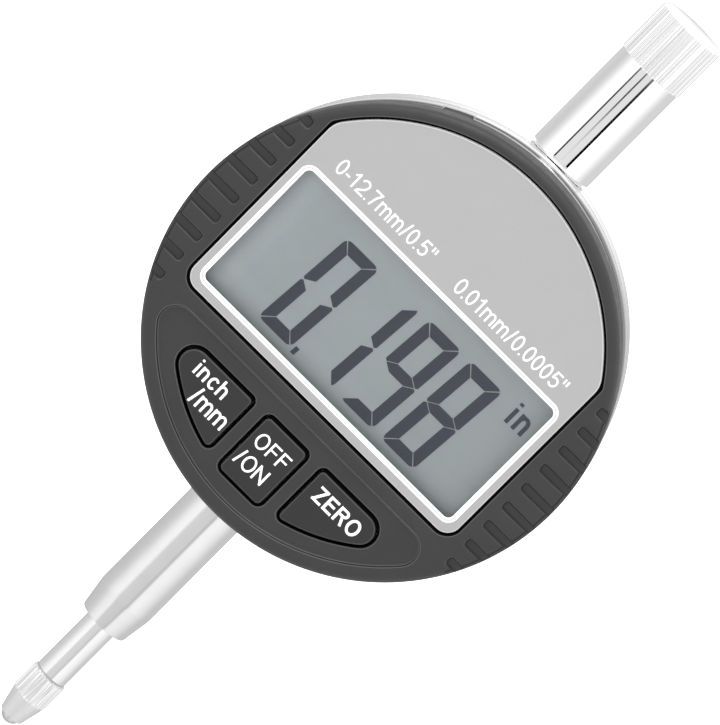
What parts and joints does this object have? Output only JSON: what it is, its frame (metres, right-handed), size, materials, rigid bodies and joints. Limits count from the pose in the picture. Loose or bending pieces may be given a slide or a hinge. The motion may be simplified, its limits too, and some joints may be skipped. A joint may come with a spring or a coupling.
{
  "type": "digital dial indicator",
  "caption": "Digital dial indicator: round head with LCD window and keys, plunger in a plain stem, knurled cap on a tube above, lug at the back.",
  "frame": {"origin": "on the spindle's axis, halfway along the part of the stem that a stand clamps", "axes": "+Z along the spindle towards the knurled cap, -Y out of the display, +X to the right seen from the front"},
  "size_m": [0.058, 0.0343, 0.1224],
  "materials": {
    "dark_plastic": "moulded dark grey, semi-matt",
    "key_plastic": "moulded near-black keycap",
    "silver_print": "silver-grey printed plate",
    "clear_acrylic": "clear window",
    "lcd_glass": "reflective liquid crystal panel",
    "white_plastic": "white moulding",
    "zebra_rubber": "conductive elastomer strip",
    "green_board": "solder-masked circuit board",
    "black_resin": "glob-top resin",
    "grey_silicone": "silicone keypad",
    "chrome": "polished plated metal",
    "satin_steel": "ground stainless steel",
    "bronze": "bearing bronze",
    "carbide": "polished carbide ball",
    "spring_steel": "spring wire",
    "gold_contact": "plated contact",
    "nylon": "nylon washer",
    "scale_glass": "printed capacitive scale strip"
  },
  "bodies": {
    "housing": {"front_bezel": "dark_plastic", "face_plate": "silver_print", "window_lens": "clear_acrylic", "lcd_panel": "lcd_glass", "lcd_frame": "white_plastic", "zebra_strip_upper": "zebra_rubber", "zebra_strip_lower": "zebra_rubber", "main_board": "green_board", "board_chip": "black_resin", "board_screw_left": "satin_steel", "board_screw_right": "satin_steel", "port_terminal": "gold_contact", "keypad_mat": "grey_silicone", "case_body": "chrome", "back_cover": "chrome", "case_screw_1": "satin_steel", "case_screw_2": "satin_steel", "case_screw_3": "satin_steel", "case_screw_4": "satin_steel", "rail_screw_upper": "satin_steel", "rail_screw_lower": "satin_steel", "guide_rail": "satin_steel", "battery_holder": "white_plastic", "battery_cell": "satin_steel", "battery_contact_minus": "gold_contact", "battery_contact_plus": "gold_contact", "stem": "satin_steel", "lower_bush": "bronze", "stop_washer": "nylon", "upper_bush": "chrome", "spindle_tube": "chrome", "return_spring": "spring_steel", "spring_anchor": "satin_steel"},
    "spindle_group": {"spindle": "satin_steel", "scale_carrier": "bronze", "carrier_screw": "satin_steel", "scale_strip": "scale_glass", "guide_pin": "satin_steel", "spring_hook_pin": "satin_steel", "contact_point": "satin_steel", "contact_ball": "carbide"},
    "unit_key": {"key_unit": "key_plastic"},
    "power_key": {"key_power": "key_plastic"},
    "zero_key": {"key_zero": "key_plastic"},
    "screw_cap": {"top_cap": "chrome"},
    "battery_lid": {"battery_cover": "dark_plastic"},
    "port_plug": {"port_cover": "dark_plastic"}
  },
  "joints": [
    {"name": "spindle_slide", "type": "slide", "parent": "housing", "child": "spindle_group", "axis": [0, 0, 1], "range_m": [-0.00503, 0.00767], "stiffness_N_per_m": 30, "springref_m": -0.0317, "deforming": ["return_spring"]},
    {"name": "unit_key_press", "type": "slide", "parent": "housing", "child": "unit_key", "axis": [0, 1, 0], "range_m": [0, 0.0005], "stiffness_N_per_m": 400},
    {"name": "power_key_press", "type": "slide", "parent": "housing", "child": "power_key", "axis": [0, 1, 0], "range_m": [0, 0.0005], "stiffness_N_per_m": 400},
    {"name": "zero_key_press", "type": "slide", "parent": "housing", "child": "zero_key", "axis": [0, 1, 0], "range_m": [0, 0.0005], "stiffness_N_per_m": 400},
    {"name": "cap_unscrew", "type": "slide", "parent": "housing", "child": "screw_cap", "axis": [0, 0, 1], "range_m": [0, 0.012]},
    {"name": "battery_cover_off", "type": "slide", "parent": "housing", "child": "battery_lid", "axis": [0, 1, 0], "range_m": [0, 0.01]},
    {"name": "port_cover_pull", "type": "slide", "parent": "housing", "child": "port_plug", "axis": [0.7385, 0, 0.6743], "range_m": [0, 0.006]}
  ]
}
